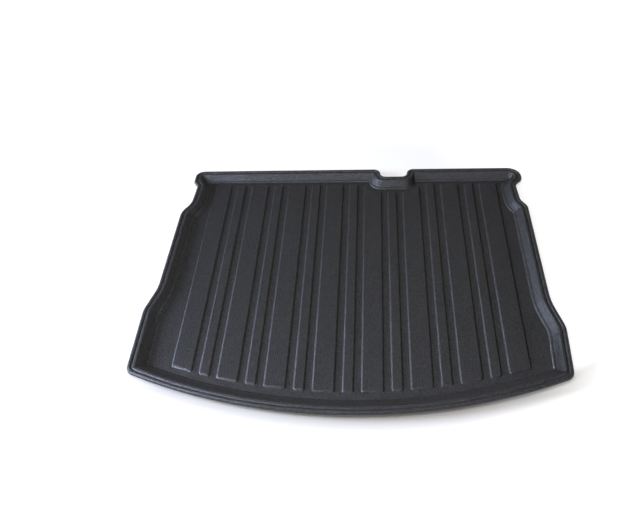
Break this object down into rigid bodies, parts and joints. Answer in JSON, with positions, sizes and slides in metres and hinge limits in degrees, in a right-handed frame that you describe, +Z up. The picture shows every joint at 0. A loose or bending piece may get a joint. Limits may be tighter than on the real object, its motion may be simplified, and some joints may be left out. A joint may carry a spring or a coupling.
{
  "type": "car boot liner",
  "caption": "Shallow formed boot liner tray with a low beaded rim, raised floor bands, stepped sides, a curved near edge and an off-centre notch in its far edge.",
  "frame": {"origin": "centre of the overall box, on the surface that the liner lies on", "axes": "+X to the right across the boot, +Y forwards to the seat backs, +Z up out of the tray"},
  "size_m": [1.0522, 0.902, 0.022],
  "materials": {
    "liner_plastic": "near-black moulded plastic with a fine pebble grain and a soft sheen"
  },
  "bodies": {
    "root": {"boot_liner": "liner_plastic"}
  },
  "joints": []
}
